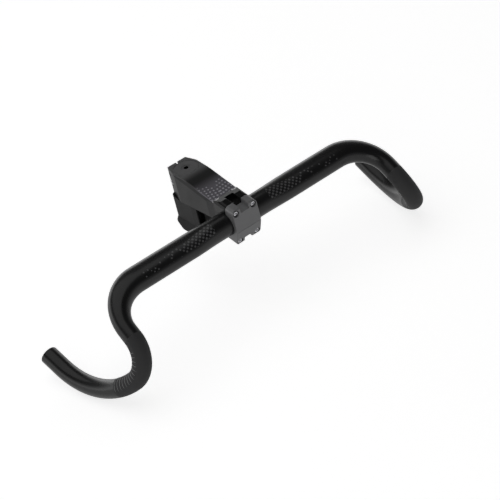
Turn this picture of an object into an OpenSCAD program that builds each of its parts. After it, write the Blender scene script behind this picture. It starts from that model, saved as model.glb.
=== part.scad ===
// Drop handlebar on its stem, with the spacers and headset cover below it.
// Millimetres. +Z runs up the steerer axis and -Y points forward, to the faceplate.
// The origin is on the steerer axis, at the stem's lower face.

/* [Handlebar] */
// Diameter of the round zone that the stem clamps
clamp_d = 31.8; // [25.4:0.1:35]
// Length of the round zone
clamp_zone = 76; // [60:1:110]
// Fore-and-aft width of the flattened tops
tops_chord = 36; // [30:0.5:42]
// Height of the flattened tops
tops_height = 27; // [24.5:0.5:32]
// Upward turn of the tops' rear edge, in degrees
tops_tilt = 10; // [0:1:15]
// Length of straight top on each side of the middle
top_half = 159; // [120:1:200]
// Radius of the bend from the tops to the ramps
bend_r = 50; // [42:1:60]
// Fall of the ramps, in degrees
ramp_fall = 32; // [20:1:40]
// Outward turn of the ramps, in degrees
ramp_toe = 1.2; // [0:0.1:4]
// Straight length of each ramp, where a lever clamps
ramp_len = 12; // [8:1:40]
// Outside diameter from the ramps to the ends
grip_d = 24; // [23.8:0.1:24.4]
// Radius of the tight part of the hook
hook_r = 34.5; // [28:0.5:45]
// Turn of the tight part of the hook, in degrees
hook_turn = 104; // [80:1:115]
// Radius of the long part of the hook
drop_r = 124; // [90:1:160]
// Turn of the long part of the hook, in degrees
drop_turn = 63; // [40:1:70]
// Straight length at each end
end_len = 26; // [15:1:80]
// Outward lean of the hooks, in degrees
flare = 23; // [0:1:28]
// Wall of the bar
bar_wall = 2.2; // [1.6:0.1:3]

/* [Stem] */
// Centre of the steerer to the centre of the bar
stem_len = 100; // [80:5:130]
// Fall of the stem towards the bar, in degrees
stem_fall = 8; // [0:1:12]
// Height of the stem at the steerer
stem_h = 42; // [38:1:48]
// Width of the extension
stem_w = 40; // [38:1:46]
// Width of the flat rear face
rear_w = 29; // [26:0.5:30]
// Steerer axis to the rear face
rear_len = 21.5; // [21.5:0.5:24]
// Outside diameter of the steerer
steerer_d = 28.6; // [28.6:0.1:28.6]
// Width of the slot behind the steerer
slot_w = 3; // [2:0.5:4]
// Rise of the underside at the rear
heel_rise = 3; // [1:0.5:5]
// Bevel along the lower edges of the extension
lower_bevel = 5; // [2:0.5:7]
// Bevel along the upper edges of the extension
upper_bevel = 1.6; // [0.5:0.1:3]

/* [Bar clamp] */
// Width of the bar clamp
plate_w = 38; // [36:1:44]
// Wall of the clamp round the bar
clamp_wall = 4; // [3:0.25:6]
// Sideways distance between the faceplate bolts
bolt_gap_x = 27; // [26:0.5:30]
// Upright distance between the faceplate bolts
bolt_gap_z = 43.8; // [43:0.2:48]
// Gap between the faceplate and the stem
split_gap = 2; // [1:0.25:3]
// Radius of the boss round each bolt
boss_r = 5.4; // [5:0.1:6]
// Width of the pocket between the clamp's arms
pocket_w = 13; // [8:1:15]

/* [Fasteners] */
// Thread diameter of the faceplate and pinch bolts
bolt_d = 5; // [4:1:5]
// Length of the faceplate bolts under the head
bolt_len = 18; // [14:1:20]
// Head diameter of the faceplate and pinch bolts
head_d = 8.5; // [7:0.1:8.8]
// Head height of the faceplate and pinch bolts
head_h = 5; // [4:0.5:5.5]
// Across flats of the bolts' sockets
socket_af = 4; // [3:0.5:4]
// Height of the lower pinch bolt
pinch_low = 20; // [11:0.5:20]
// Height of the upper pinch bolt
pinch_high = 33; // [30:0.5:33]
// Steerer axis to the pinch bolts
pinch_y = 18.2; // [18:0.1:18.4]
// Thread diameter of the top cap bolt
cap_bolt_d = 6; // [5:1:6]
// Length of the top cap bolt
cap_bolt_len = 16; // [14:1:18]

/* [Top cap] */
// Diameter of the top cap
cap_d = 32.6; // [31:0.2:33.4]
// Thickness of the top cap
cap_t = 4.5; // [4.2:0.1:5.5]

/* [Spacers] */
// Half width of the spacers
spacer_half = 19.5; // [19:0.5:21]
// Steerer axis to the front of the spacers
spacer_front = 34; // [32:1:38]
// Radius of the spacers' rear corners
spacer_corner = 6; // [4:0.5:8]
// Thickness of the wedge under the stem, at its front
wedge_t = 2; // [1.5:0.25:4]
// Thickness of the thin spacer
thin_t = 5; // [3:1:10]
// Thickness of the tall spacer
tall_t = 23; // [10:1:30]
// Width of each hose channel
channel_w = 8.5; // [6:0.5:8.5]
// Depth of each hose channel
channel_depth = 9; // [8.5:0.5:10]

/* [Bearing cover] */
// Height of the bearing cover
cover_h = 14; // [14:0.5:18]
// Diameter of the bearing cover at its base
cover_d = 50; // [48:0.5:52]
// Height of the compression ring
ring_h = 6; // [5:0.5:7]

/* [Cable cover] */
// Thickness of the cover under the stem
cable_cover_t = 2.2; // [1.6:0.2:3]
// Length of the stem that the cover under it leaves free
cover_clear = 58; // [54:1:66]
// Width of the cover under the stem
cable_cover_w = 27; // [22:1:29]

/* [Clearances] */
// Radial clearance round the steerer
steerer_play = 0.05; // [0.02:0.01:0.1]
// Radial clearance of the spacers round the steerer
spacer_play = 0.4; // [0.3:0.1:0.6]
// Radial clearance round the bar in its clamp
bar_play = 0.04; // [0.02:0.01:0.1]
// Radial clearance of a bolt in its hole
bolt_play = 0.1; // [0.05:0.05:0.2]
// Gap round a piece that drops into a seat
seat_play = 0.15; // [0.1:0.05:0.3]

/* [Hidden] */
$fn = 96;
eps = 0.01;
clamp_r = clamp_d / 2;
grip_r = grip_d / 2;
steerer_r = steerer_d / 2;
stem_reach = stem_len * cos(stem_fall);
bar_z = stem_h / 2 - stem_len * sin(stem_fall);
bolt_x = bolt_gap_x / 2;
bolt_z = bolt_gap_z / 2;
boss_top = bolt_z + boss_r;
ring_r = clamp_r + clamp_wall;
// Seat of the faceplate bolts' heads, forward of the bar's centre
head_seat = 11;
// Foremost ridge of the faceplate
ridge_y = clamp_r + clamp_wall + 1.8;
ridge_z = -2;
// Depth of the groove under that ridge
groove_d = 1;
// Levels of the stack below the stem
wedge_z = -wedge_t;
thin_z = wedge_z - thin_t;
tall_z = thin_z - tall_t;
base_z = tall_z - cover_h;

// Length of the cover under the stem
cable_cover_len = stem_len - cover_clear;
spacer_bore = steerer_r + spacer_play;
bolt_r = bolt_d / 2;
head_r = head_d / 2;
// Seat of the pinch bolts' heads, sideways from the middle
pinch_seat = rear_w / 2 - head_h;
// Start of the wedge's slope, behind the steerer axis
heel_y = 2;
// Foremost point of the extension's top, measured to the bar's centre
panel_end = 18;
// Chamfer round the cap
cap_edge = 0.5;
// Radius of the top where it starts to fall
brow_r = 90;
// How far the cap bolt's head sits below the cap's face
cap_sink = 0.3;
// Steerer axis to the rear of the spacers
spacer_rear = rear_len + 0.5;
// Wall of the rear lugs round the pinch bolts
lug_wall = 1.4;
// Wall outside each hose channel
channel_wall = 1.6;
// Where the hoses pass the compression ring, from the steerer axis
hose_r = 2.4;
hose_at = [7.7, -13.3];
// How far down the bearing cover is widest, and how much wider than the spacers
cover_fall = 7;
cover_swell = 2.8;
// Top of the lower clamping band in the steerer's bore
clamp_low = stem_h - 20;
// Where the top starts to fall, forward of the steerer axis
brow_y = 17;

// Points of an arc, for outlines
function arc_points(centre, radius, from, to, steps) =
    [for (i = [0 : steps]) let (a = from + (to - from) * i / steps)
        [centre[0] + radius * cos(a), centre[1] + radius * sin(a)]];

// An outline in Y and Z, as thick as width along X
module side_slab(width) {
    rotate([90, 0, 90]) linear_extrude(height = width, center = true) children();
}

// An outline in X and Z, from y0 forward to y1
module front_slab(y0, y1) {
    translate([0, y0, 0]) rotate([90, 0, 0]) linear_extrude(height = y0 - y1) children();
}

// The frame of the bar clamp: -Y along the stem, +X to the rider's left
module in_clamp() {
    translate([0, -stem_reach, bar_z]) rotate([stem_fall, 0, 0]) children();
}

/* The bar: flattened tops are a loft, everything else is cylinders and arcs */

function unit(v) = v / norm(v);
function turn(v, axis, a) =
    v * cos(a) + cross(axis, v) * sin(a) + axis * (axis * v) * (1 - cos(a));
function smooth(t) = let (c = min(max(t, 0), 1)) c * c * (3 - 2 * c);

ramp_dir = unit([tan(ramp_toe), -cos(ramp_fall), -sin(ramp_fall)]);
bend_axis = unit(cross([1, 0, 0], ramp_dir));
bend_turn = acos(ramp_dir[0]);
hook_axis = turn(unit([1, 0, 0] - ramp_dir * ramp_dir[0]), ramp_dir, flare);
bend_centre = [top_half, 0, 0] + bend_r * cross(bend_axis, [1, 0, 0]);
ramp_start = bend_centre + turn([top_half, 0, 0] - bend_centre, bend_axis, bend_turn);

// Where the loft starts and ends inside the round pieces
loft_lap = 1;
loft_inset = 0.2;
ramp_lap = 0.4;
blend_len = 40;
loft_sides = 36;
blend_steps = 8;
bend_steps = 18;

// One station of the loft: centre, sideways direction, upward direction, half sizes
function station(centre, a, chord_r, height_r) =
    [centre, turn([0, 1, 0], bend_axis, a), turn([0, 0, 1], bend_axis, a), chord_r, height_r];
function bend_point(a) = bend_centre + turn([top_half, 0, 0] - bend_centre, bend_axis, a);
function half_chord(k) = clamp_r + (tops_chord / 2 - clamp_r) * k;
function half_height(k) = clamp_r + (tops_height / 2 - clamp_r) * k;
function stations() = concat(
    [station([clamp_zone / 2 - loft_lap, 0, 0], 0, clamp_r - loft_inset, clamp_r - loft_inset)],
    [for (i = [1 : blend_steps]) let (k = i / blend_steps)
        station([clamp_zone / 2 + blend_len * k, 0, 0], 0,
            half_chord(smooth(k)), half_height(smooth(k)))],
    [for (i = [0 : bend_steps]) let (k = i / bend_steps, s = smooth(k))
        station(bend_point(bend_turn * k), bend_turn * k,
            tops_chord / 2 + (grip_r - tops_chord / 2) * s - (i == bend_steps ? loft_inset / 2 : 0),
            tops_height / 2 + (grip_r - tops_height / 2) * s - (i == bend_steps ? loft_inset / 2 : 0))],
    [station(ramp_start + ramp_dir * loft_lap, bend_turn, grip_r - loft_inset, grip_r - loft_inset)]);
function ring_points(st, inset, sides) =
    [for (j = [0 : sides - 1]) let (a = 360 * j / sides,
        u = (st[3] - inset) * cos(a), v = (st[4] - inset) * sin(a))
        st[0] + st[1] * (u * cos(tops_tilt) - v * sin(tops_tilt))
            + st[2] * (u * sin(tops_tilt) + v * cos(tops_tilt))];

module loft(inset, sides) {
    st = stations();
    last = len(st) - 1;
    points = [for (s = st) each ring_points(s, inset, sides)];
    walls = [for (i = [0 : last - 1]) for (j = [0 : sides - 1])
        let (a = i * sides + j, b = i * sides + (j + 1) % sides)
        each [[a, a + sides, b + sides], [a, b + sides, b]]];
    polyhedron(points = points, convexity = 6,
        faces = concat([[for (j = [0 : sides - 1]) j]],
            [[for (j = [sides - 1 : -1 : 0]) last * sides + j]], walls));
}

// A bent length of round bar that starts along +X and turns towards +Y
module bent(radius, angle, r) {
    translate([0, radius, 0]) rotate([0, 0, -90])
        rotate_extrude(angle = angle, $fn = 160) translate([radius, 0]) circle(r, $fn = 48);
}

module after_bend(radius, angle) {
    translate([radius * sin(angle), radius * (1 - cos(angle)), 0]) rotate([0, 0, angle]) children();
}

// The frame of a hook: +X down the ramp, +Z along the axis that it turns about
module in_hook() {
    y = cross(hook_axis, ramp_dir);
    multmatrix([[ramp_dir[0], y[0], hook_axis[0], ramp_start[0]],
        [ramp_dir[1], y[1], hook_axis[1], ramp_start[1]],
        [ramp_dir[2], y[2], hook_axis[2], ramp_start[2]],
        [0, 0, 0, 1]]) children();
}

// A hair-thin collar round a joint between two stretches of bar, so that they fuse there
module joint_collar(r) {
    rotate([0, 90, 0]) cylinder(h = 0.6, r = r + 0.03, center = true);
}

module hook(r, spare) {
    translate([ramp_lap, 0, 0]) rotate([0, 90, 0]) cylinder(h = ramp_len - ramp_lap, r = r);
    translate([ramp_len, 0, 0]) {
        joint_collar(r);
        bent(hook_r, hook_turn, r);
        after_bend(hook_r, hook_turn) {
            joint_collar(r);
            bent(drop_r, drop_turn, r);
            after_bend(drop_r, drop_turn) {
                joint_collar(r);
                rotate([0, 90, 0]) cylinder(h = end_len + spare, r = r);
            }
        }
    }
}

module bar_half() {
    difference() {
        union() {
            rotate([0, 90, 0]) cylinder(h = clamp_zone / 2, r = clamp_r);
            loft(0, loft_sides);
            in_hook() hook(grip_r, 0);
        }
        translate([-1, 0, 0]) rotate([0, 90, 0]) cylinder(h = clamp_zone / 2 + 1, r = clamp_r - bar_wall);
        loft(bar_wall, 24);
        in_hook() hook(grip_r - bar_wall, 1);
    }
}

module handlebar() {
    color([0.10, 0.10, 0.11]) translate([0, -stem_reach, bar_z]) {
        bar_half();
        mirror([1, 0, 0]) bar_half();
    }
}

/* The stem */

// Height of the extension's top at a distance forward of the steerer axis
function top_z(y) = stem_h - max(0, y - brow_y) * tan(stem_fall + 1);

module stem_side() {
    fall_end = stem_reach - panel_end;
    polygon(concat(
        [[rear_len, heel_rise], [heel_y, 0], [-spacer_front - 1, 0], [-stem_reach + 31, -1.5]],
        arc_points([-stem_reach + 31, -13.5], 12, 90, 150, 12),
        [[-stem_reach + 12, bar_z - 14], [-stem_reach + 12, top_z(fall_end) - 3]],
        [[-fall_end, top_z(fall_end)]],
        arc_points([-brow_y, stem_h - brow_r], brow_r, 90 + stem_fall + 1, 90, 10),
        [[rear_len, stem_h]]));
}

module stem_outline() {
    half = stem_w / 2;
    nose = plate_w / 2 - 0.4;
    right = [[rear_w / 2 - 0.4, rear_len + 1], [half - 1.5, 7], [half, 0], [half, -stem_reach + 34],
        [nose, -stem_reach + 16], [nose, -stem_reach]];
    polygon(concat(right, [for (i = [len(right) - 1 : -1 : 0]) [-right[i][0], right[i][1]]]));
}

// What the bevels along the extension leave, as a bar along the stem
module stem_bevels() {
    half = stem_w / 2;
    edge = 2 * upper_bevel;
    translate([0, 0, stem_h]) rotate([stem_fall + 1, 0, 0]) translate([0, 2 * rear_len, 0])
        front_slab(0, -stem_len - 60)
            polygon([[-half - 1, -2 * stem_h], [half + 1, -2 * stem_h], [half + 1, -edge], [half, -edge],
                [half - upper_bevel, 4], [upper_bevel - half, 4], [-half, -edge], [-half - 1, -edge]]);
}

// What the bevels along the extension's lower edges take away, more towards the bar
module lower_bevels() {
    for (side = [0, 1]) {
        mirror([side, 0, 0]) translate([stem_w / 2, -heel_y, 0])
            rotate([0, 0, -atan(lower_bevel / (stem_reach - panel_end))]) rotate([0, 45, 0])
                translate([0, -2 * stem_len, -stem_w]) cube([stem_w, 2 * stem_len, 2 * stem_w]);
    }
}

// The rear half of the bar clamp, seen from the side
module clamp_side() {
    polygon([[-split_gap / 2, boss_top], [10, boss_top], [22, boss_top - 3.5], [26, 0],
        [19, -14], [11, -boss_top + 3], [8, -boss_top], [-split_gap / 2, -boss_top]]);
}

// Outline of the bar clamp from the front
module clamp_front() {
    union() {
        for (sx = [-1, 1]) {
            for (sz = [-1, 1]) {
                translate([sx * bolt_x, sz * bolt_z]) circle(boss_r);
            }
        }
        square([2 * bolt_x, 2 * boss_top], center = true);
        square([plate_w, 2 * bolt_z], center = true);
    }
}

module for_bolts() {
    for (sx = [-1, 1]) {
        for (sz = [-1, 1]) {
            translate([sx * bolt_x, 0, sz * bolt_z]) children();
        }
    }
}

module clamp_pocket(sz) {
    mirror([0, 0, sz > 0 ? 0 : 1]) translate([-pocket_w / 2, -stem_w, ring_r - 0.6])
        cube([pocket_w, stem_w + panel_end - 3, stem_h]);
}

// The rear face swells round each pinch bolt
module pinch_lugs() {
    for (z = [pinch_low, pinch_high]) {
        translate([0, pinch_y, z]) rotate([0, 90, 0])
            cylinder(h = rear_w - 1, r = bolt_r + lug_wall, center = true);
    }
}

module pinch_holes() {
    for (z = [pinch_low, pinch_high]) {
        side = z == pinch_high ? 1 : -1;
        translate([0, pinch_y, z]) rotate([0, 90, 0]) {
            cylinder(h = 2 * stem_w, r = bolt_r + bolt_play, center = true);
            mirror([0, 0, side > 0 ? 0 : 1]) translate([0, 0, pinch_seat])
                cylinder(h = stem_w, r = head_r + seat_play);
        }
    }
}

module cable_pocket() {
    translate([-cable_cover_w / 2 - seat_play, -spacer_front - 1.5 - cable_cover_len, -3])
        cube([cable_cover_w + 2 * seat_play, cable_cover_len + 2 * seat_play, 3 + cable_cover_t]);
    translate([-cable_cover_w / 2 + 3, -spacer_front - cable_cover_len + 7, -3])
        cube([cable_cover_w - 6, cable_cover_len - 17, 16]);
}

module stem_body() {
    color([0.24, 0.24, 0.25]) difference() {
        union() {
            difference() {
                intersection() {
                    side_slab(2 * stem_w) stem_side();
                    translate([0, 0, -60]) linear_extrude(height = 140) stem_outline();
                    stem_bevels();
                }
                lower_bevels();
            }
            in_clamp() intersection() {
                side_slab(plate_w) clamp_side();
                front_slab(30, -10) clamp_front();
            }
            pinch_lugs();
        }
        translate([0, 0, -60]) cylinder(h = 140, r = steerer_r + steerer_play);
        translate([0, 0, stem_h - cap_t]) cylinder(h = cap_t + 10, r = cap_d / 2 + seat_play);
        translate([0, 0, clamp_low]) cylinder(h = 5, r = steerer_r + 0.6);
        translate([-slot_w / 2, 0, -10]) cube([slot_w, rear_len + 10, stem_h + 20]);
        pinch_holes();
        cable_pocket();
        in_clamp() {
            rotate([0, 90, 0]) cylinder(h = 3 * plate_w, r = clamp_r + bar_play, center = true);
            translate([-stem_w, -40, -40]) cube([2 * stem_w, 40 - split_gap / 2, 90]);
            clamp_pocket(1);
            clamp_pocket(-1);
            for_bolts() translate([0, bolt_len - head_seat + 1, 0]) rotate([90, 0, 0])
                cylinder(h = 60, r = bolt_r + bolt_play);
        }
        translate([0, 0, -5]) screw_holes();
    }
}

/* The faceplate and the fasteners */

module faceplate_side() {
    face = head_seat + head_h;
    polygon([[-split_gap, boss_top], [1.2 - face, boss_top], [-face - 0.4, boss_top - 1.6],
        [-ridge_y, ridge_z + 0.8], [-ridge_y, ridge_z],
        [groove_d - ridge_y, ridge_z - groove_d], [groove_d - ridge_y, ridge_z - 2 * groove_d],
        [-ridge_y + 0.5, ridge_z - 3 * groove_d],
        [-face - 0.4, -boss_top + 1.6], [1.2 - face, -boss_top], [-split_gap, -boss_top]]);
}

module faceplate() {
    color([0.42, 0.42, 0.44]) in_clamp() difference() {
        intersection() {
            side_slab(plate_w) faceplate_side();
            front_slab(0, -40) difference() {
                clamp_front();
                for (sz = [-1, 1]) {
                    translate([0, sz * (ring_r + 4)]) square([pocket_w, 8], center = true);
                }
            }
        }
        rotate([0, 90, 0]) cylinder(h = 3 * plate_w, r = clamp_r + bar_play, center = true);
        for_bolts() rotate([90, 0, 0]) {
            cylinder(h = 60, r = bolt_r + bolt_play);
            translate([0, 0, head_seat]) cylinder(h = 60, r = head_r + seat_play);
        }
    }
}

// A socket-head bolt: the head's seat at the origin, the shank along -Z
module socket_bolt(len) {
    color([0.72, 0.73, 0.75]) difference() {
        union() {
            cylinder(h = head_h, r = head_r);
            translate([0, 0, -len]) cylinder(h = len + eps, r = bolt_r);
        }
        translate([0, 0, head_h - 2.6]) cylinder(h = 5, r = socket_af / sqrt(3), $fn = 6);
    }
}

module faceplate_bolt(sx, sz) {
    in_clamp() translate([sx * bolt_x, -head_seat, sz * bolt_z]) rotate([90, 0, 0]) socket_bolt(bolt_len);
}

module faceplate_bolt_upper_right() {
    faceplate_bolt(-1, 1);
}

module faceplate_bolt_upper_left() {
    faceplate_bolt(1, 1);
}

module faceplate_bolt_lower_right() {
    faceplate_bolt(-1, -1);
}

module faceplate_bolt_lower_left() {
    faceplate_bolt(1, -1);
}

module pinch_bolt(z, side) {
    translate([side * pinch_seat, pinch_y, z]) rotate([0, side * 90, 0])
        socket_bolt(2 * pinch_seat + 2);
}

module pinch_bolt_upper() {
    pinch_bolt(pinch_high, 1);
}

module pinch_bolt_lower() {
    pinch_bolt(pinch_low, -1);
}

module top_cap() {
    color([0.26, 0.26, 0.27]) translate([0, 0, stem_h - cap_t]) difference() {
        union() {
            cylinder(h = cap_t - cap_edge, r = cap_d / 2);
            translate([0, 0, cap_t - cap_edge - eps])
                cylinder(h = cap_edge + eps, r1 = cap_d / 2, r2 = cap_d / 2 - cap_edge);
        }
        translate([0, 0, -eps]) cylinder(h = cap_t + 1, r = cap_bolt_d / 2 + bolt_play);
        translate([0, 0, cap_t - cap_bolt_d / 2 - cap_sink])
            cylinder(h = cap_bolt_d / 2, r1 = cap_bolt_d / 2 + bolt_play, r2 = cap_bolt_d + bolt_play);
        translate([0, 0, cap_t - cap_sink - eps]) cylinder(h = 1, r = cap_bolt_d + bolt_play);
    }
}

module top_cap_bolt() {
    color([0.05, 0.05, 0.05]) translate([0, 0, stem_h - cap_sink]) difference() {
        union() {
            translate([0, 0, -cap_bolt_d / 2])
                cylinder(h = cap_bolt_d / 2, r1 = cap_bolt_d / 2, r2 = cap_bolt_d);
            translate([0, 0, -cap_bolt_len])
                cylinder(h = cap_bolt_len - cap_bolt_d / 2 + eps, r = cap_bolt_d / 2);
        }
        translate([0, 0, -2.2]) cylinder(h = 5, r = 2.9, $fn = 6);
    }
}

/* The cover under the extension */

screw_d = 3;
screw_front_y = -spacer_front - cable_cover_len + 4;
screw_rear_y = -spacer_front - 6;

module screw_holes() {
    for (y = [screw_front_y, screw_rear_y]) {
        translate([0, y, 0]) cylinder(h = 5 + cable_cover_t + 6.5, r = screw_d / 2 + bolt_play);
    }
}

module cable_cover() {
    color([0.20, 0.20, 0.21]) difference() {
        translate([-cable_cover_w / 2, -spacer_front - 1.5 - cable_cover_len + seat_play, -0.2])
            cube([cable_cover_w, cable_cover_len, cable_cover_t]);
        translate([0, 0, -5]) screw_holes();
    }
}

module cover_screw(y) {
    color([0.12, 0.12, 0.12]) translate([0, y, -0.2]) difference() {
        union() {
            translate([0, 0, -1.6]) cylinder(h = 1.6, r = screw_d);
            cylinder(h = cable_cover_t + 6, r = screw_d / 2);
        }
        translate([0, 0, -3]) cylinder(h = 2.4, r = 1.1, $fn = 6);
    }
}

module cable_cover_screw_front() {
    cover_screw(screw_front_y);
}

module cable_cover_screw_rear() {
    cover_screw(screw_rear_y);
}

/* The stack below the stem */

// Outline of the spacers, rounded behind, with hose channels in front
module spacer_outline() {
    c = spacer_corner;
    back = spacer_rear;
    inner = spacer_half - channel_wall - channel_w;
    lip = 2.5 - spacer_front;
    right = concat(
        arc_points([spacer_half - c, back - c], c, 90, 0, 6),
        [[spacer_half, -20], [spacer_half - 0.6, lip + 0.5], [spacer_half - channel_wall, lip]],
        [[spacer_half - channel_wall, lip + channel_depth], [inner, lip + channel_depth], [inner, lip - 1],
            [inner - 1.5, -spacer_front]]);
    polygon(concat(right, [for (i = [len(right) - 1 : -1 : 0]) [-right[i][0], right[i][1]]]));
}

module spacer_slab(low, high) {
    difference() {
        translate([0, 0, low]) linear_extrude(height = high - low) spacer_outline();
        translate([0, 0, low - 1]) cylinder(h = high - low + 2, r = spacer_bore);
    }
}

module transition_spacer() {
    tail = rear_len - heel_y;
    color([0.15, 0.15, 0.16]) intersection() {
        spacer_slab(wedge_z, heel_rise + 2);
        side_slab(3 * stem_w) polygon([[-60, wedge_z - 1], [-60, 0], [heel_y, 0],
            [heel_y + 2 * tail, 2 * heel_rise], [heel_y + 2 * tail, wedge_z - 1]]);
    }
}

module spacer_thin() {
    color([0.15, 0.15, 0.16]) spacer_slab(thin_z, wedge_z);
}

module spacer_tall() {
    color([0.15, 0.15, 0.16]) spacer_slab(tall_z, thin_z);
}

ring_r_out = steerer_r + 2.7;
seal_r = cover_d / 2 - 4;
seal_w = 1.6;

// The spacers' outline without their hose channels, grown by swell
module cover_outline(swell) {
    c = spacer_corner + swell;
    side = spacer_half + swell;
    right = concat(
        arc_points([side - c, spacer_rear + swell - c], c, 90, 0, 8),
        [[side, -20], [side - 0.6, 3 - spacer_front], [side - 3, -spacer_front]]);
    polygon(concat(right, [for (i = [len(right) - 1 : -1 : 0]) [-right[i][0], right[i][1]]]));
}

// Where a hose runs on down and in through the bearing cover
module hose_way() {
    x = spacer_half - channel_wall - channel_w / 2;
    y = 2.5 - spacer_front + channel_depth - channel_w / 2;
    hull() {
        translate([x, y, tall_z + 1]) cylinder(h = 1, r = channel_w / 2, $fn = 16);
        translate([hose_at[0], hose_at[1], base_z - 4]) cylinder(h = 1, r = hose_r, $fn = 16);
    }
}

module bearing_cover() {
    color([0.13, 0.13, 0.14]) difference() {
        hull() {
            translate([0, 0, tall_z - 1]) linear_extrude(height = 1) cover_outline(0);
            translate([0, 0, tall_z - cover_fall - 1]) linear_extrude(height = 2) cover_outline(cover_swell);
            translate([0, 0, base_z + 2]) cylinder(h = 1, r = cover_d / 2, $fn = 64);
            translate([0, 0, base_z]) cylinder(h = 1, r = cover_d / 2 - 1.4, $fn = 64);
        }
        translate([0, 0, base_z - 1]) cylinder(h = cover_h + 2, r = spacer_bore);
        for (side = [0, 1]) {
            mirror([side, 0, 0]) hose_way();
        }
        translate([0, 0, base_z - 1]) cylinder(h = ring_h + 1, r = ring_r_out + seat_play);
        difference() {
            translate([0, 0, base_z - 1]) cylinder(h = 2.2, r = seal_r + seal_w / 2 + seat_play);
            translate([0, 0, base_z - 2]) cylinder(h = 5, r = seal_r - seal_w / 2 - seat_play);
        }
    }
}

// Split ring with a cone that centres the steerer in the bearing
module compression_ring() {
    color([0.62, 0.63, 0.65]) translate([0, 0, base_z - 2]) difference() {
        union() {
            translate([0, 0, 2]) cylinder(h = ring_h - 0.1, r = ring_r_out);
            cylinder(h = 2 + eps, r1 = ring_r_out - 1.6, r2 = ring_r_out);
        }
        translate([0, 0, -1]) cylinder(h = ring_h + 4, r = steerer_r + steerer_play);
        translate([-1, 0, -1]) cube([2, 30, ring_h + 4]);
        for (side = [0, 1]) {
            mirror([side, 0, 0]) translate([0, 0, 2 - base_z]) hose_way();
        }
    }
}

module cover_seal() {
    color([0.03, 0.03, 0.03]) translate([0, 0, base_z - 0.6]) difference() {
        cylinder(h = 1.7, r = seal_r + seal_w / 2);
        translate([0, 0, -1]) cylinder(h = 4, r = seal_r - seal_w / 2);
    }
}

handlebar();
stem_body();
faceplate();
faceplate_bolt_upper_right();
faceplate_bolt_upper_left();
faceplate_bolt_lower_right();
faceplate_bolt_lower_left();
pinch_bolt_upper();
pinch_bolt_lower();
top_cap();
top_cap_bolt();
cable_cover();
cable_cover_screw_front();
cable_cover_screw_rear();
transition_spacer();
spacer_thin();
spacer_tall();
bearing_cover();
compression_ring();
cover_seal();
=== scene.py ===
# %% [markdown]
# # A drop handlebar on its stem
# A racing bicycle is steered with one bent tube. Its tops are flattened for the palms,
# its hooks lean outwards, and a stem clamps its round middle to the fork's steerer.
# The metal and moulded pieces come in as a fixed frame, already the right size. This
# script gives them their finishes, and sweeps a smoother skin for the bar itself.

# %% Load the frame
from math import acos, atan2, cos, pi, radians, sin, tan

import bmesh
import bpy
from mathutils import Matrix, Vector


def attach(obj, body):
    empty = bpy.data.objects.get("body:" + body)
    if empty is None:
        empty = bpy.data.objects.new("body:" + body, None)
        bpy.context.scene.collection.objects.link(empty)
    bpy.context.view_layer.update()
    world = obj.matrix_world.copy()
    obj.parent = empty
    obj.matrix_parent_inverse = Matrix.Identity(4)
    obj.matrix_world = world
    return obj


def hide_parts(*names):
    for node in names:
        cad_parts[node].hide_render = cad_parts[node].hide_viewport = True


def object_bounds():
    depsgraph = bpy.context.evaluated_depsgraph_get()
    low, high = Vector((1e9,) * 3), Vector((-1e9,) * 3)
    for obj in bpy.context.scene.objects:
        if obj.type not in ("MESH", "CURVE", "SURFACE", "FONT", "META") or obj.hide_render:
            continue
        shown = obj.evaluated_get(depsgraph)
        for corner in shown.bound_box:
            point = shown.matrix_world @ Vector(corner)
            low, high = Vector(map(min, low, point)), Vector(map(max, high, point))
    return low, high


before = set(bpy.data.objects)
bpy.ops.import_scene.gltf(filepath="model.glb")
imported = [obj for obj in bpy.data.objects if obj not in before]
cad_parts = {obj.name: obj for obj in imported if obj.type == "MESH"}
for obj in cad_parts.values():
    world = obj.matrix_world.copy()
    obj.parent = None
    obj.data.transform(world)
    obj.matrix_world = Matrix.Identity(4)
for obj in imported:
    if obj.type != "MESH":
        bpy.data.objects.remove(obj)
cad_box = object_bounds()
MM, TO_MM = 0.001, 1000.0
print("frame:", len(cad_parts), "nodes")

# %% [markdown]
# ## The path of the bar
# The real bar is moulded round a mandrel: straight tops, a bend forward, a short straight
# ramp for the lever, a tight hook, a long shallow drop and a straight end. A curve object
# with a bevel could follow that, but its section can't go from flat to round. So the path
# is kept as a list of stations, and each station knows its own section.

# %% Driving sizes of the bar
STEM_LENGTH, STEM_FALL, STEM_HEIGHT = 100 * MM, radians(8), 42 * MM
CLAMP_RADIUS, CLAMP_HALF = 15.9 * MM, 38 * MM
TOP_HALF, TOP_CHORD, TOP_HEIGHT, TOP_TILT = 159 * MM, 36 * MM, 27 * MM, radians(10)
SWELL_LENGTH = 40 * MM
BEND_RADIUS = 50 * MM
RAMP_FALL, RAMP_TOE, RAMP_LENGTH = radians(32), radians(1.2), 12 * MM
GRIP_RADIUS = 12 * MM
HOOK_RADIUS, HOOK_TURN = 34.5 * MM, radians(104)
DROP_RADIUS, DROP_TURN = 124 * MM, radians(63)
END_LENGTH = 26 * MM
FLARE = radians(23)
WALL = 2.2 * MM
TOPS_STEPS, BEND_STEPS, RAMP_STEPS = 64, 34, 6
HOOK_STEPS, DROP_STEPS, END_STEPS = 42, 48, 10
bar_centre = Vector((0, -STEM_LENGTH * cos(STEM_FALL),
                     STEM_HEIGHT / 2 - STEM_LENGTH * sin(STEM_FALL)))
print("bar centre", [round(v, 4) for v in bar_centre])

# %% [markdown]
# ## Stations
# Each stretch of the bar is an arc or a straight, so every station follows from the one
# before it by a turn about an axis or a step ahead. The hook's axis is the sideways axis
# turned round the ramp, and that one turn gives the whole drop its outward lean.


# %% Stations along one half of the bar
def ease(share):
    share = min(max(share, 0), 1)
    return share * share * (3 - 2 * share)


def swing(point, pivot, axis, angle):
    return pivot + Matrix.Rotation(angle, 3, axis) @ (point - pivot)


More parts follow.
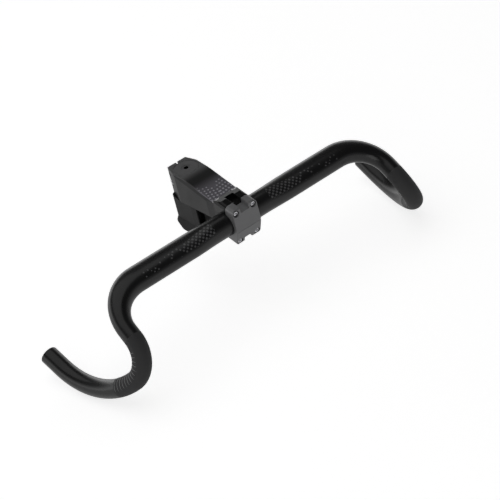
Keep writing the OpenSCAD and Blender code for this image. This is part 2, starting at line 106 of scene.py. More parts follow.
ramp_way = Vector((tan(RAMP_TOE), -cos(RAMP_FALL), -sin(RAMP_FALL))).normalized()
bend_axis = Vector((1, 0, 0)).cross(ramp_way).normalized()
bend_turn = acos(ramp_way.x)
side_way = (Vector((1, 0, 0)) - ramp_way * ramp_way.x).normalized()
hook_axis = Matrix.Rotation(FLARE, 3, ramp_way) @ side_way


class Station:
    """One place on the bar: its centre, the chord's and the height's direction, half sizes."""

    def __init__(self, centre, chord, rise, half_chord, half_height, run):
        self.centre, self.chord, self.rise = centre, chord, rise
        self.half_chord, self.half_height, self.run = half_chord, half_height, run


def bar_stations():
    found = []
    chord, rise = Vector((0, 1, 0)), Vector((0, 0, 1))
    for i in range(TOPS_STEPS + 1):
        x = TOP_HALF * i / TOPS_STEPS
        k = ease((x - CLAMP_HALF) / SWELL_LENGTH)
        found.append(Station(Vector((x, 0, 0)), chord, rise,
                             CLAMP_RADIUS + (TOP_CHORD / 2 - CLAMP_RADIUS) * k,
                             CLAMP_RADIUS + (TOP_HEIGHT / 2 - CLAMP_RADIUS) * k, x))
    place = found[-1].centre
    pivot = place + BEND_RADIUS * bend_axis.cross(Vector((1, 0, 0)))
    for i in range(1, BEND_STEPS + 1):
        a = bend_turn * i / BEND_STEPS
        k = ease(i / BEND_STEPS)
        turn = Matrix.Rotation(a, 3, bend_axis)
        found.append(Station(swing(place, pivot, bend_axis, a), turn @ chord, turn @ rise,
                             TOP_CHORD / 2 + (GRIP_RADIUS - TOP_CHORD / 2) * k,
                             TOP_HEIGHT / 2 + (GRIP_RADIUS - TOP_HEIGHT / 2) * k,
                             TOP_HALF + a * BEND_RADIUS))
    way = ramp_way

    def straight(length, steps):
        start = found[-1]
        for i in range(1, steps + 1):
            found.append(Station(start.centre + way * length * i / steps, start.chord, start.rise,
                                 GRIP_RADIUS, GRIP_RADIUS, start.run + length * i / steps))

    def arc(radius, angle, steps):
        nonlocal way
        start = found[-1]
        pivot = start.centre + radius * hook_axis.cross(way)
        for i in range(1, steps + 1):
            a = angle * i / steps
            turn = Matrix.Rotation(a, 3, hook_axis)
            found.append(Station(swing(start.centre, pivot, hook_axis, a), turn @ start.chord,
                                 turn @ start.rise, GRIP_RADIUS, GRIP_RADIUS,
                                 start.run + a * radius))
        way = Matrix.Rotation(angle, 3, hook_axis) @ way

    straight(RAMP_LENGTH, RAMP_STEPS)
    arc(HOOK_RADIUS, HOOK_TURN, HOOK_STEPS)
    arc(DROP_RADIUS, DROP_TURN, DROP_STEPS)
    straight(END_LENGTH, END_STEPS)
    return found


stations = bar_stations()
GRIP_PAST_HOOK = 30 * MM
GRIP_START = stations[TOPS_STEPS + BEND_STEPS + RAMP_STEPS].run
GRIP_END = GRIP_START + HOOK_RADIUS * HOOK_TURN + GRIP_PAST_HOOK
print("stations on one half:", len(stations), "length", round(stations[-1].run, 3), "m")

# %% [markdown]
# ## Sweep the skin
# The bar is one hollow moulding. A ring of vertices starts at the middle, is extruded from
# station to station, turns round the rim at the open end and comes back as the inner wall.
# Extruding keeps the quads in order, so a UV map can say how far along and how far round
# every vertex is: the finish needs that for its dots and its hook texture. The second
# half is a mirror of the first.

# %% Sweep one half and mirror it
AROUND = 72
RIM = 0.5 * MM
RIM_ANGLES = (0, 30, 60, 90)
BOXINESS = 0.25


def section_point(station, angle, inset):
    """A point of the flattened section; the sum of powers makes the tops a little boxier."""
    k = (station.half_chord - station.half_height) / (TOP_CHORD / 2 - TOP_HEIGHT / 2)
    power = 2 / (2 + BOXINESS * max(0, k))
    c, s = cos(angle), sin(angle)
    u = (abs(c) ** power) * (1 if c >= 0 else -1) * (station.half_chord - inset)
    v = (abs(s) ** power) * (1 if s >= 0 else -1) * (station.half_height - inset)
    return (station.centre + station.chord * (u * cos(TOP_TILT) - v * sin(TOP_TILT))
            + station.rise * (u * sin(TOP_TILT) + v * cos(TOP_TILT)))


def rim_stations():
    """Out along the outer wall, round the rim, and back inside along every second station."""
    last = stations[-1]
    out = [(s, 0.0) for s in stations[:-1]]
    way = (last.centre - stations[-2].centre).normalized()
    for a in RIM_ANGLES:
        back = RIM * (1 - sin(radians(a)))
        shifted = Station(last.centre - way * back, last.chord, last.rise,
                          last.half_chord, last.half_height, last.run - back)
        out.append((shifted, RIM * (1 - cos(radians(a)))))
    out.append((last, WALL - RIM))
    out.append((Station(last.centre - way * RIM, last.chord, last.rise,
                        last.half_chord, last.half_height, last.run), WALL))
    out += [(s, WALL) for s in reversed(stations[::2][:-1])]
    return out


def extrude_ring(bm, edges, ring):
    """Extrude a closed loop of edges; gives the new edges and the new vertices in ring order."""
    grown = bmesh.ops.extrude_edge_only(bm, edges=edges)["geom"]
    new = {v for v in grown if isinstance(v, bmesh.types.BMVert)}
    new_edges = [e for e in grown if isinstance(e, bmesh.types.BMEdge)
                 and e.verts[0] in new and e.verts[1] in new]
    new_ring = [next(e.other_vert(v) for e in v.link_edges if e.other_vert(v) in new)
                for v in ring]
    return new_edges, new_ring


def sweep_half():
    bm = bmesh.new()
    run_layer = bm.verts.layers.float.new("run")
    angle_layer = bm.verts.layers.float.new("angle")
    bmesh.ops.create_circle(bm, segments=AROUND, radius=1)
    bm.verts.ensure_lookup_table()
    ring = sorted(bm.verts, key=lambda v: atan2(v.co.y, v.co.x) % (2 * pi))
    edges = bm.edges[:]
    for index, (station, inset) in enumerate(rim_stations()):
        if index:
            edges, ring = extrude_ring(bm, edges, ring)
        for j, v in enumerate(ring):
            angle = 2 * pi * j / AROUND
            v.co = section_point(station, angle, inset)
            v[run_layer] = station.run
            v[angle_layer] = angle
    return bm, run_layer, angle_layer


def mirror_half(bm, merge):
    """Mirror one half to the other side, then move both to the bar's place and face them out."""
    bmesh.ops.mirror(bm, geom=bm.verts[:] + bm.edges[:] + bm.faces[:], axis="X", merge_dist=merge)
    bmesh.ops.translate(bm, verts=bm.verts, vec=bar_centre)
    bmesh.ops.recalc_face_normals(bm, faces=bm.faces)


bar_mesh, run_layer, angle_layer = sweep_half()
uv_layer = bar_mesh.loops.layers.uv.new("bar_map")
for face in bar_mesh.faces:
    full_turn = max(l.vert[angle_layer] for l in face.loops) > 1.5 * pi
    for loop in face.loops:
        angle = loop.vert[angle_layer]
        if full_turn and angle < 0.5 * pi:
            angle += 2 * pi
        loop[uv_layer].uv = (loop.vert[run_layer], angle / (2 * pi))
mirror_half(bar_mesh, 0.01 * MM)
print("bar skin:", len(bar_mesh.faces), "faces")

# %% [markdown]
# ## Put the bar in the scene
# The skin takes the place of the frame's faceted bar, which is hidden, and rides the root
# body.


# %% Place the bar
def new_piece(name, bm):
    mesh = bpy.data.meshes.new(name)
    bm.to_mesh(mesh)
    bm.free()
    mesh.shade_smooth()
    piece = bpy.data.objects.new(name, mesh)
    bpy.context.scene.collection.objects.link(piece)
    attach(piece, "root")
    return piece


bar = new_piece("bar_skin", bar_mesh)
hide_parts("handlebar")
print("bar triangles:", sum(len(p.vertices) - 2 for p in bar.data.polygons))

# %% [markdown]
# ## Ribs inside the hooks
# Raised ribs round the concave half stop a sweaty hand from sliding. Each is moulded with
# the bar and stands a fraction of a millimetre proud. A row of thin swept wires follows
# the inner side of the hook, sunk so that only their crests show, and their light grey
# is a painted highlight for the light those crests catch.

# %% Model the ribs
RIB_COUNT, RIB_PITCH = 14, 5.6 * MM
RIB_HALF_ANGLE, RIB_SHORTER = radians(118), 0.12
RIB_WIDTH, RIB_PROUD, RIB_SUNK = 0.9 * MM, 0.32 * MM, 0.3 * MM
RIB_FIRST = GRIP_START + 17 * MM
RIB_STEPS, RIB_SIDES = 30, 6
END_DIP, END_DIP_POWER = 1.6 * RIB_PROUD, 8


def place_at(run):
    """The bar's centre and its two cross directions at a distance along the bar."""
    for a, b in zip(stations, stations[1:]):
        if a.run <= run <= b.run:
            k = (run - a.run) / (b.run - a.run)
            return (a.centre.lerp(b.centre, k), a.chord.lerp(b.chord, k).normalized(),
                    a.rise.lerp(b.rise, k).normalized())


def add_rib(bm, run, half_angle):
    """A thin arc of wire, sunk so that only its crest shows, with ends that dip into the bar."""
    centre, chord, rise = place_at(run)
    way = chord.cross(rise)
    inner = hook_axis.cross(way)
    across = way.cross(inner)
    ring = bmesh.ops.create_circle(bm, segments=RIB_SIDES, radius=1)["verts"]
    base = [v.co.copy() for v in ring]
    edges = list({e for v in ring for e in v.link_edges})
    for i in range(RIB_STEPS + 1):
        share = 2 * i / RIB_STEPS - 1
        angle = half_angle * share
        out = inner * cos(angle) + across * sin(angle)
        sink = END_DIP * share ** END_DIP_POWER
        middle = centre + out * (GRIP_RADIUS - RIB_SUNK - sink)
        if i:
            edges, ring = extrude_ring(bm, edges, ring)
        for v, b in zip(ring, base):
            v.co = middle + way * b.x * RIB_WIDTH / 2 + out * b.y * (RIB_PROUD + RIB_SUNK)


rib_mesh = bmesh.new()
for number in range(RIB_COUNT):
    growth = 1 - RIB_SHORTER * (1 - number / RIB_COUNT)
    add_rib(rib_mesh, RIB_FIRST + number * RIB_PITCH, RIB_HALF_ANGLE * growth)
bmesh.ops.holes_fill(rib_mesh, edges=rib_mesh.edges, sides=RIB_SIDES)
mirror_half(rib_mesh, 0)
ribs = new_piece("hook_ribs", rib_mesh)
print("ribs:", 2 * RIB_COUNT)

# %% [markdown]
# ## Shared effects
# Two effects come back in several finishes: a fine unevenness of lacquer and paint, and
# graded dots. Each is a node group, built once, with named inputs, so every material sets
# its own values and the look stays in one place. A few helpers keep the wiring short.


# %% Helpers for nodes
def new_group(name, inputs, outputs):
    group = bpy.data.node_groups.new(name, "ShaderNodeTree")
    for label, value in inputs:
        socket = group.interface.new_socket(label, in_out="INPUT", socket_type="NodeSocketFloat")
        socket.default_value = value
    for label in outputs:
        group.interface.new_socket(label, in_out="OUTPUT", socket_type="NodeSocketFloat")
    return group, group.nodes.new("NodeGroupInput"), group.nodes.new("NodeGroupOutput")


def math_node(tree, operation, first, second=None, third=None):
    """One step of arithmetic; each value is a plain number or a socket."""
    node = tree.nodes.new("ShaderNodeMath")
    node.operation = operation
    for socket, value in zip(node.inputs, (first, second, third)):
        if value is None:
            continue
        if isinstance(value, (int, float)):
            socket.default_value = value
        else:
            tree.links.new(value, socket)
    return node.outputs[0]


RISING, FALLING = (0.0, 1.0), (1.0, 0.0)


def smooth_range(tree, value, low, high, out_low=0.0, out_high=1.0):
    """Follow a value from one number to another along a soft S between low and high."""
    node = tree.nodes.new("ShaderNodeMapRange")
    node.interpolation_type = "SMOOTHSTEP"
    tree.links.new(value, node.inputs["Value"])
    for label, number in (("From Min", low), ("From Max", high),
                          ("To Min", out_low), ("To Max", out_high)):
        node.inputs[label].default_value = number
    return node.outputs["Result"]


def colour_mix(tree, mask, under, over):
    """Lay a colour over another where the mask is 1; each is a plain colour or a socket."""
    node = tree.nodes.new("ShaderNodeMix")
    node.data_type = "RGBA"
    tree.links.new(mask, node.inputs["Factor"])
    for label, colour in (("A", under), ("B", over)):
        if isinstance(colour, tuple):
            node.inputs[label].default_value = (*colour, 1)
        else:
            tree.links.new(colour, node.inputs[label])
    return node.outputs["Result"]


def placed_group(tree, group, values=()):
    node = tree.nodes.new("ShaderNodeGroup")
    node.node_tree = group
    for label, value in values:
        node.inputs[label].default_value = value
    return node


def new_material(name):
    material = bpy.data.materials.new(name)
    material.use_nodes = True
    return material, material.node_tree, material.node_tree.nodes["Principled BSDF"]


# %% [markdown]
# ## Unevenness of a coating
# Paint and lacquer are never quite even. A fine grain gives the relief, and broad patches
# change the gloss a little. Two noises on the piece's own coordinates give both.


# %% Fine unevenness of a coating
def coating_group():
    group, ins, outs = new_group(
        "coating_unevenness", [("Grain Scale", 900.0), ("Patch Scale", 30.0)], ["Grain", "Patches"])
    coordinates = group.nodes.new("ShaderNodeTexCoord")
    for label, source, detail in (("Grain", "Grain Scale", 3.0), ("Patches", "Patch Scale", 2.0)):
        noise = group.nodes.new("ShaderNodeTexNoise")
        noise.inputs["Detail"].default_value = detail
        group.links.new(coordinates.outputs["Object"], noise.inputs["Vector"])
        group.links.new(ins.outputs[source], noise.inputs["Scale"])
        group.links.new(noise.outputs["Fac"], outs.inputs[label])
    return group


coating = coating_group()
print("group:", coating.name)

# %% [markdown]
# ## Plain finishes
# Most pieces are dark and nearly grey, so the eye tells them apart by gloss: a lacquered
# bar, satin stem and plates, matte mouldings, bright steel heads. One function makes a
# plain coated finish with small changes of roughness and a fine relief, and each piece
# calls it with its own values.


# %% A coated finish
PATCH_LOW, PATCH_HIGH, PATCH_CONTRAST, ROUGH_SPREAD = 0.3, 0.7, 0.12, 0.03
SHEEN, PAINT_RELIEF = 0.5, 0.012


def soft_edge(tree, radius):
    """Normals that turn round a sharp edge over a small radius, as a forging's or moulding's do."""
    node = tree.nodes.new("ShaderNodeBevel")
    node.samples = 8
    node.inputs["Radius"].default_value = radius * MM
    return node.outputs["Normal"]


def add_relief(tree, height, depth, normal=None):
    """Relief of a depth in millimetres on the shader's normals."""
    bump = tree.nodes.new("ShaderNodeBump")
    bump.inputs["Distance"].default_value = depth * MM
    tree.links.new(height, bump.inputs["Height"])
    if normal:
        tree.links.new(normal, bump.inputs["Normal"])
    tree.links.new(bump.outputs["Normal"], tree.nodes["Principled BSDF"].inputs["Normal"])


def patchy(tree, patches, low, high):
    """A value that wanders between two ends with the patches of a coating."""
    return smooth_range(tree, patches, PATCH_LOW, PATCH_HIGH, low, high)


def coated(name, colour, roughness, metallic=0.0, relief=0.02, specular=SHEEN, edge=0.4):
    material, tree, shader = new_material(name)
    shader.inputs["Metallic"].default_value = metallic
    shader.inputs["Specular IOR Level"].default_value = specular
    effect = placed_group(tree, coating)
    patches = effect.outputs["Patches"]
    darker = tuple(c * (1 - PATCH_CONTRAST) for c in colour)
    lighter = tuple(c * (1 + PATCH_CONTRAST) for c in colour)
    tree.links.new(colour_mix(tree, patches, darker, lighter), shader.inputs["Base Color"])
    rough = patchy(tree, patches, roughness - ROUGH_SPREAD, roughness + ROUGH_SPREAD)
    tree.links.new(rough, shader.inputs["Roughness"])
    add_relief(tree, effect.outputs["Grain"], relief, soft_edge(tree, edge))
    return material


# The satin grey is the cap's own paint, and on the stem's top flat it is painted light.
STEEL, SATIN_AND_LIT_TOP, OXIDE_AND_SHADE_BLACK = (0.78, 0.78, 0.80), (0.105, 0.105, 0.107), (0.012, 0.012, 0.012)
plate_paint = coated("faceplate_paint", (0.25, 0.25, 0.255), 0.38, 0.25,
                     relief=PAINT_RELIEF, edge=0.5)
steel = coated("bright_steel", STEEL, 0.16, 1.0, relief=0.004)
cap_paint = coated("cap_satin_paint", SATIN_AND_LIT_TOP, 0.42, relief=PAINT_RELIEF)
black_steel = coated("blackened_steel", OXIDE_AND_SHADE_BLACK, 0.35, 0.4, relief=0.006)
moulding = coated("spacer_moulding", (0.008, 0.008, 0.0085), 0.42, specular=0.2)
ring_alloy = coated("ring_alloy", (0.6, 0.6, 0.62), 0.3, 1.0, relief=0.006)
rubber = coated("seal_rubber", (0.01, 0.01, 0.01), 0.8, relief=0.03)
print("plain finishes: 7")

# %% [markdown]
# ## Bolt heads
# A faceplate bolt is bright steel round the socket, with painted shade at its rim where the
# counterbore shades it, and the cap bolt is painted round a socket that gets painted shade:
# black, with its shine taken away. Both follow the distance from the bolt's own axis, which a
# cross product with the axis gives, wherever the bolt points.


# %% Painted shade on a bolt by its radius
# Past this radius a faceplate bolt's head gets painted shade, in the black oxide colour, where the
# counterbore shades its rim.
BRIGHT_RADIUS, SHADE_BORDER = 2.7 * MM, 0.5 * MM
SOCKET_RADIUS, SOCKET_BORDER = 3.2 * MM, 0.2 * MM


def vector_step(tree, operation, first, second=None):
    node = tree.nodes.new("ShaderNodeVectorMath")
    node.operation = operation
    tree.links.new(first, node.inputs[0])
    if second is not None:
        node.inputs[1].default_value = second
    return node


def paint_bolt_shade(material, node, axis, start, border, inside=False):
    """Paint shade on a bolt past a radius round its own axis, or within it, with a soft border."""
    tree = material.node_tree
    shader = tree.nodes["Principled BSDF"]
    corners = [node.matrix_world @ v.co for v in node.data.vertices]
    middle = sum(corners, Vector()) / len(corners)
    place = tree.nodes.new("ShaderNodeTexCoord")
    offset = vector_step(tree, "SUBTRACT", place.outputs["Object"], middle)
    across = vector_step(tree, "CROSS_PRODUCT", offset.outputs["Vector"], axis)
    radius = vector_step(tree, "LENGTH", across.outputs["Vector"]).outputs["Value"]
    # Painted shade: black past the radius, or within it in a socket.
    dark = smooth_range(tree, radius, start, start + border, *(FALLING if inside else RISING))
    paint = shader.inputs["Base Color"].links[0].from_socket
    shade_colour = (0.0, 0.0, 0.0) if inside else OXIDE_AND_SHADE_BLACK
    tree.links.new(colour_mix(tree, dark, paint, shade_colour), shader.inputs["Base Color"])
    # In a socket the painted shade also takes away the shine.
    if inside:
        shine = math_node(tree, "SUBTRACT", SHEEN, math_node(tree, "MULTIPLY", dark, SHEEN))
        tree.links.new(shine, shader.inputs["Specular IOR Level"])
    return material


print("bright within", round(BRIGHT_RADIUS / MM, 1), "mm of a bolt's axis")

# %% [markdown]
# ## Graded dots
# The dots are printed under the lacquer. They thin out and shrink along the bar, and a few
# are missing. Two coordinates cut the surface into cells: a dot is what lies near a cell's
# centre, and a random value for each cell decides whether its dot is there. Turn leans the
# rows: 1 gives diagonal rows, and a value near 0 gives rows straight along the piece. The
# lengths are in millimetres.


# %% Graded dots on the tops
SHRINK, KEPT_START = 0.4, 0.25


def dots_group():
    group, ins, outs = new_group(
        "graded_dots", [("Run", 0.0), ("Around", 0.0), ("Pitch", 6.2), ("Largest", 0.35),
                        ("Start", 44.0), ("Fade", 118.0), ("Low", 23.0), ("High", 39.5),
                        ("Taper", 8.0), ("Turn", 1.0), ("Gaps", 1.1)],
        ["Mask"])
    run, around, turn = (ins.outputs[label] for label in ("Run", "Around", "Turn"))

    def step(operation, *values):
        return math_node(group, operation, *values)

    rows = (step("MULTIPLY_ADD", around, turn, run),
            step("SUBTRACT", step("MULTIPLY", run, turn), around))
    squares, cells = [], []
    for row in rows:
        scaled = step("DIVIDE", row, ins.outputs["Pitch"])
        cell = step("FLOOR", scaled)
        offset = step("SUBTRACT", step("SUBTRACT", scaled, cell), 0.5)
        squares.append(step("MULTIPLY", offset, offset))
        cells.append(cell)
    distance = step("SQRT", step("ADD", *squares))
    away = step("DIVIDE", step("SUBTRACT", run, ins.outputs["Start"]), ins.outputs["Fade"])
    size = step("MULTIPLY", step("SUBTRACT", 1.0, step("MULTIPLY", away, SHRINK)),
                ins.outputs["Largest"])
    dot = step("LESS_THAN", distance, size)

    chance = group.nodes.new("ShaderNodeTexWhiteNoise")
    chance.noise_dimensions = "2D"
    joined = group.nodes.new("ShaderNodeCombineXYZ")
    for axis, cell in zip("XY", cells):
        group.links.new(cell, joined.inputs[axis])
    group.links.new(joined.outputs["Vector"], chance.inputs["Vector"])
    missing = step("SUBTRACT", step("MULTIPLY", away, ins.outputs["Gaps"]), KEPT_START)
    kept = step("GREATER_THAN", chance.outputs["Value"], missing)

    band_low = step("MULTIPLY_ADD", away, ins.outputs["Taper"], ins.outputs["Low"])
    inside = step("MULTIPLY", step("GREATER_THAN", around, band_low),
                  step("LESS_THAN", around, ins.outputs["High"]))
    span = step("MULTIPLY", step("GREATER_THAN", run, ins.outputs["Start"]),
                step("LESS_THAN", away, 1.0))
    mask = step("MULTIPLY", step("MULTIPLY", dot, kept), step("MULTIPLY", inside, span))
    group.links.new(mask, outs.inputs["Mask"])
    return group


dots = dots_group()
print("group:", dots.name)

# %% [markdown]
# ## The bar's finish
# The bar is black and lacquered over graded grey dots on its tops, and bare and rough where
# the hands hold the hooks. All three follow the bar, not the room, so they read its own
# map: U is the distance along the bar in metres, and V goes once round it.


# %% Lacquer, dots and bare grips in one material
TOPS_GIRTH, GRIP_BORDER = 97.0, 0.4 * MM
LACQUER, DOT_GREY, BARE_GREY = (0.004, 0.004, 0.0045), (0.12, 0.12, 0.124), (0.044, 0.044, 0.045)
LACQUER_COAT, LACQUER_HAZE, LACQUER_ROUGH = 0.25, 0.14, (0.26, 0.31)
BARE_ROUGHER, BARE_RELIEF = 0.4, 0.12


def bar_finish():
    material, tree, shader = new_material("bar_lacquer")
    effect = placed_group(tree, coating, (("Grain Scale", 1400.0), ("Patch Scale", 24.0)))
    pattern = placed_group(tree, dots)
    uv = tree.nodes.new("ShaderNodeUVMap")
    uv.uv_map = "bar_map"
    parts = tree.nodes.new("ShaderNodeSeparateXYZ")
    tree.links.new(uv.outputs["UV"], parts.inputs["Vector"])
    along, round_bar = parts.outputs["X"], parts.outputs["Y"]
    tree.links.new(math_node(tree, "MULTIPLY", along, TO_MM), pattern.inputs["Run"])
    tree.links.new(math_node(tree, "MULTIPLY", round_bar, TOPS_GIRTH), pattern.inputs["Around"])
    begun = smooth_range(tree, along, GRIP_START - GRIP_BORDER, GRIP_START + GRIP_BORDER)
    ended = smooth_range(tree, along, GRIP_END - GRIP_BORDER, GRIP_END + GRIP_BORDER, *FALLING)
    held = math_node(tree, "MULTIPLY", begun, ended)
    lacquer = colour_mix(tree, pattern.outputs["Mask"], LACQUER, DOT_GREY)
    tree.links.new(colour_mix(tree, held, lacquer, BARE_GREY), shader.inputs["Base Color"])
    gloss = patchy(tree, effect.outputs["Patches"], *LACQUER_ROUGH)
    rough = math_node(tree, "MULTIPLY_ADD", held, BARE_ROUGHER, gloss)
    tree.links.new(rough, shader.inputs["Roughness"])
    worn = math_node(tree, "MULTIPLY", held, LACQUER_COAT)
    tree.links.new(math_node(tree, "SUBTRACT", LACQUER_COAT, worn), shader.inputs["Coat Weight"])
    shader.inputs["Coat Roughness"].default_value = LACQUER_HAZE
    add_relief(tree, math_node(tree, "MULTIPLY", effect.outputs["Grain"], held), BARE_RELIEF)
    return material


bar.data.materials.append(bar_finish())
# Painted highlight: the ribs are moulded with the bar, and their light grey stands in for the light
# on their crests.
rib_highlight_paint = coated("rib_highlight_paint", (0.34, 0.34, 0.345), 0.45, relief=0.01)
ribs.data.materials.append(rib_highlight_paint)
print("bar finish:", len(bar.data.materials[0].node_tree.nodes), "nodes")

# %% [markdown]
# ## The stem's finish
# The stem has a satin coat. The rear flat of its top is painted a lighter grey as painted
# light from above, fading out over the brow. The front of its top is a lighter metallic panel
# with graded dots in straight rows, and the panel ends over two lobes in a painted highlight
# along its edge. The clamp's arms in front of it are gloss black. All of it is laid out in
# millimetres from the stem's own coordinates, as masks that are laid over each other like
# coats of paint.


# %% Satin coat, painted light on the top, panel, painted edge highlight and black arms
PANEL_START, PANEL_END, PANEL_SIDE = 48.0, 80.5, 14.0
LOBE, LOBE_PACE = 2.6, 0.34
TOP_EDGE, TOP_SLOPE, BROW = 42.0, tan(radians(9)), 17.0
PANEL_FADE, LIT_TOP_FADE = (PANEL_START - 12, PANEL_START + 10), (BROW - 3, BROW + 13)
TOP_BORDER, ARM_FOOT, SHARP = (-1.6, -1.0), (19.0, 20.0), (-0.1, 0.1)
RIM_BEGIN, RIM_END = (-1.8, -1.2), (-0.2, 0.1)
DOTS_FROM = 130.0
STEM_SHEEN, STEM_ROUGH, STEM_EDGE = 0.32, (0.36, 0.44), 0.6
PANEL_METAL, ARM_SMOOTHER = 0.5, 0.2
# The grey of the top's rear flat is painted light from above.
STEM_BLACK, STEM_LIT_TOP, PANEL = (0.014, 0.014, 0.0145), SATIN_AND_LIT_TOP, (0.2, 0.192, 0.215)
# The bright colour at the panel's end edge is a painted highlight.
PANEL_DOTS, EDGE_HIGHLIGHT, ARM_BLACK = (0.6, 0.59, 0.64), (0.85, 0.85, 0.86), (0.008, 0.008, 0.008)


def stem_finish():
    material, tree, shader = new_material("stem_satin_paint")
    shader.inputs["Specular IOR Level"].default_value = STEM_SHEEN
    place = tree.nodes.new("ShaderNodeTexCoord")
    parts = tree.nodes.new("ShaderNodeSeparateXYZ")
    tree.links.new(place.outputs["Object"], parts.inputs["Vector"])

    def step(operation, *values):
        return math_node(tree, operation, *values)

    def band(value, low, high, *ends):
        return smooth_range(tree, value, low, high, *ends)

    side = step("ABSOLUTE", step("MULTIPLY", parts.outputs["X"], TO_MM))
    ahead = step("MULTIPLY", parts.outputs["Y"], -TO_MM)
    high = step("MULTIPLY", parts.outputs["Z"], TO_MM)
    past_brow = step("MAXIMUM", step("SUBTRACT", ahead, BROW), 0.0)
    top_line = step("SUBTRACT", TOP_EDGE, step("MULTIPLY", past_brow, TOP_SLOPE))
    on_top = band(step("SUBTRACT", high, top_line), *TOP_BORDER)
    wave = step("COSINE", step("MULTIPLY", step("SUBTRACT", side, PANEL_SIDE), LOBE_PACE))
    edge = step("ADD", PANEL_END, step("MULTIPLY", step("MAXIMUM", wave, 0.0), LOBE))
    past = step("SUBTRACT", ahead, edge)

    arms = step("MULTIPLY", band(past, *SHARP), band(high, *ARM_FOOT))
    # Painted highlight: a bright band along the panel's wavy end edge.
    rim = step("MULTIPLY", step("MULTIPLY", band(past, *RIM_BEGIN),
                                band(past, *RIM_END, *FALLING)), on_top)
    panel = step("MULTIPLY", step("MULTIPLY", band(ahead, *PANEL_FADE),
                                  band(past, *SHARP, *FALLING)), on_top)
    # Painted light: the rear flat of the top is painted lighter, fading out over the brow.
    lit_top = step("MULTIPLY", on_top, band(ahead, *LIT_TOP_FADE, *FALLING))
    pattern = placed_group(tree, dots, (
        ("Pitch", 5.2), ("Largest", 0.29), ("Start", 50.5), ("Fade", 34.0), ("Low", -33.0),
        ("High", 18.6), ("Taper", 50.0), ("Turn", -0.2), ("Gaps", 0.5)))
    tree.links.new(step("SUBTRACT", DOTS_FROM, ahead), pattern.inputs["Run"])
    tree.links.new(side, pattern.inputs["Around"])

    paint = STEM_BLACK
    dotted = step("MULTIPLY", pattern.outputs["Mask"], panel)
    for mask, colour in ((lit_top, STEM_LIT_TOP), (panel, PANEL), (dotted, PANEL_DOTS),
                         (rim, EDGE_HIGHLIGHT), (arms, ARM_BLACK)):
        paint = colour_mix(tree, mask, paint, colour)
    tree.links.new(paint, shader.inputs["Base Color"])
    tree.links.new(step("MULTIPLY", panel, PANEL_METAL), shader.inputs["Metallic"])
    effect = placed_group(tree, coating)
    rough = patchy(tree, effect.outputs["Patches"], *STEM_ROUGH)
    smoother = step("MULTIPLY", arms, ARM_SMOOTHER)
    tree.links.new(step("SUBTRACT", rough, smoother), shader.inputs["Roughness"])
    add_relief(tree, effect.outputs["Grain"], PAINT_RELIEF, soft_edge(tree, STEM_EDGE))
    return material


stem_paint = stem_finish()
print("stem finish:", len(stem_paint.node_tree.nodes), "nodes")

# %% [markdown]
# ## Dress the fixed pieces
# The pieces of the frame keep their meshes. Each only needs its finish, and the finish
# turns its normals over a few tenths of a millimetre at sharp edges, where a real forging
# or moulding is rounded, so that the edges catch a thin line of light.

# %% Give each piece its finish
FINISHES = {
    "stem_body": stem_paint, "faceplate": plate_paint, "top_cap": cap_paint,
    "cable_cover": moulding, "cable_cover_screw_front": black_steel,
    "cable_cover_screw_rear": black_steel, "transition_spacer": moulding, "spacer_thin": moulding,
    "spacer_tall": moulding, "bearing_cover": moulding, "compression_ring": ring_alloy,
    "cover_seal": rubber,
}
bolt_way = (0, cos(STEM_FALL), sin(STEM_FALL))
for name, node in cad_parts.items():
    finish = FINISHES.get(name, steel)
    if name.startswith("faceplate_bolt"):
        head = coated(name.replace("faceplate_bolt", "plate_bolt"), STEEL, 0.2, 1.0,
                      relief=0.004, edge=0.2)
        # Painted shade round the head's rim, where the counterbore shades it.
        finish = paint_bolt_shade(head, node, bolt_way, BRIGHT_RADIUS, SHADE_BORDER)
    if name == "top_cap_bolt":
        head = coated("cap_bolt_paint", SATIN_AND_LIT_TOP, 0.42, relief=PAINT_RELIEF)
        # Painted shade in the socket, black and without shine.
        finish = paint_bolt_shade(head, node, (0, 0, 1), SOCKET_RADIUS, SOCKET_BORDER, inside=True)
    node.data.materials.clear()
    node.data.materials.append(finish)
print("dressed:", len(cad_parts))

# %% [markdown]
# ## Studio floor
# A product picture like this one is taken in a white tent, on a white floor with only a
# faint shadow. The floor glows for the camera and for reflections through Light Path, and
# not on the object, so it turns to plain white and still keeps the shadow.


# %% Floor
FLOOR_WHITE, FLOOR_GLOW, FLOOR_MIRRORED = (0.86, 0.86, 0.86, 1), 0.74, 0.3
FLOOR_ROUGH, FLOOR_HALF, FLOOR_GAP = 0.9, 6, 1 * MM


def floor_material():
    material, tree, shader = new_material("tent_white")
    shader.inputs["Base Color"].default_value = FLOOR_WHITE
    shader.inputs["Roughness"].default_value = FLOOR_ROUGH
    glow = tree.nodes.new("ShaderNodeEmission")
    glow.inputs["Color"].default_value = (1, 1, 1, 1)
    path = tree.nodes.new("ShaderNodeLightPath")
    glossy = math_node(tree, "MULTIPLY", path.outputs["Is Glossy Ray"], FLOOR_MIRRORED)
    camera_glow = math_node(tree, "MULTIPLY", path.outputs["Is Camera Ray"], FLOOR_GLOW)
    tree.links.new(math_node(tree, "ADD", camera_glow, glossy), glow.inputs["Strength"])
    add = tree.nodes.new("ShaderNodeAddShader")
    tree.links.new(shader.outputs["BSDF"], add.inputs[0])
    tree.links.new(glow.outputs["Emission"], add.inputs[1])
    tree.links.new(add.outputs["Shader"], tree.nodes["Material Output"].inputs["Surface"])
    return material


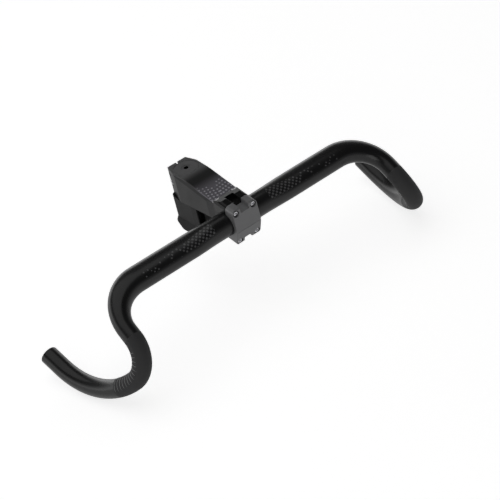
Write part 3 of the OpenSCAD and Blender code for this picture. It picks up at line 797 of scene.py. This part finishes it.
floor_height = cad_box[0][2] - FLOOR_GAP
floor_bm = bmesh.new()
bmesh.ops.create_grid(floor_bm, x_segments=1, y_segments=1, size=FLOOR_HALF)
bmesh.ops.translate(floor_bm, verts=floor_bm.verts, vec=(0, 0, floor_height))
floor_mesh = bpy.data.meshes.new("floor")
floor_bm.to_mesh(floor_mesh)
floor_bm.free()
floor = bpy.data.objects.new("floor", floor_mesh)
floor.data.materials.append(floor_material())
bpy.context.scene.collection.objects.link(floor)
print("floor at", round(floor_height, 4))

# %% [markdown]
# ## Lights and tent
# Three big soft lights fill the back, the top and the front. The tent's cloth is the world:
# it is bright low down behind the bar and dark overhead, and that draws the soft gradient
# along the tops. To the camera it is plain white.


# %% Lights
def soft_light(name, place, width, height, power, target=(0, -0.06, -0.03)):
    data = bpy.data.lights.new(name, "AREA")
    data.shape, data.size, data.size_y, data.energy = "RECTANGLE", width, height, power
    lamp = bpy.data.objects.new(name, data)
    lamp.location = place
    lamp.rotation_euler = (Vector(target) - Vector(place)).to_track_quat("-Z", "Y").to_euler()
    bpy.context.scene.collection.objects.link(lamp)


soft_light("tent_back", (0.7, 2.6, 0.5), 3.2, 1.1, 4)
soft_light("tent_top", (-0.5, 0.3, 2.2), 3.0, 3.0, 13)
soft_light("tent_front", (-1.5, -2.0, 0.55), 1.6, 1.6, 6)
print("lights: 3")

# %% The tent's cloth
TENT_DARK, TENT_FRONT, TENT_BACK = 0.07, 0.25, 1.2
CLOTH_TOP, TURN_FRONT, TURN_BACK = 0.56, -0.3, 0.7

tent = bpy.data.worlds.new("tent")
bpy.context.scene.world = tent
tent.use_nodes = True
cloth = tent.node_tree
backdrop = cloth.nodes["Background"]
backdrop.inputs["Color"].default_value = (1, 1, 1, 1)
path = cloth.nodes.new("ShaderNodeLightPath")
looking = cloth.nodes.new("ShaderNodeTexCoord")
aim = cloth.nodes.new("ShaderNodeSeparateXYZ")
cloth.links.new(looking.outputs["Generated"], aim.inputs["Vector"])
horizon = smooth_range(cloth, aim.outputs["Z"], 0.0, CLOTH_TOP, *FALLING)
behind = smooth_range(cloth, aim.outputs["Y"], TURN_FRONT, TURN_BACK, TENT_FRONT, TENT_BACK)
glow = math_node(cloth, "MULTIPLY_ADD", horizon, behind, TENT_DARK)
strength = math_node(cloth, "MAXIMUM", glow, path.outputs["Is Camera Ray"])
cloth.links.new(strength, backdrop.inputs["Strength"])
bpy.context.scene.view_settings.view_transform = "Standard"
print("tent:", len(cloth.nodes), "nodes")

# %% [markdown]
# ## Camera
# The picture was taken from the rider's front right, above the bar, and turned a little.
# Azimuth, height, roll and distance were fitted to the bar's outline, so the camera is
# built from those four numbers and looks past the bar's centre by a small lens shift.

# %% Camera
AZIMUTH, HEIGHT, ROLL = radians(-29.776), radians(33.487), radians(-14.255)
DISTANCE, LENS, SENSOR = 2.22504, 128.84, 36.0
CENTRE_IN_PICTURE, PICTURE = (238.18, 216.23), 500
back = Vector((sin(AZIMUTH) * cos(HEIGHT), -cos(AZIMUTH) * cos(HEIGHT), sin(HEIGHT)))
right = Vector((cos(AZIMUTH), sin(AZIMUTH), 0))
up = back.cross(right)
level_right = right * cos(ROLL) + up * sin(ROLL)
level_up = up * cos(ROLL) - right * sin(ROLL)
camera_data = bpy.data.cameras.new("picture")
camera_data.lens, camera_data.sensor_width = LENS, SENSOR
camera_data.shift_x = (PICTURE / 2 - CENTRE_IN_PICTURE[0]) / PICTURE
camera_data.shift_y = (CENTRE_IN_PICTURE[1] - PICTURE / 2) / PICTURE
camera = bpy.data.objects.new("picture", camera_data)
camera.matrix_world = Matrix.Translation(bar_centre + back * DISTANCE) @ Matrix(
    (level_right, level_up, back)).transposed().to_4x4()
bpy.context.scene.collection.objects.link(camera)
bpy.context.scene.camera = camera
print("camera at", [round(v, 3) for v in camera.location])
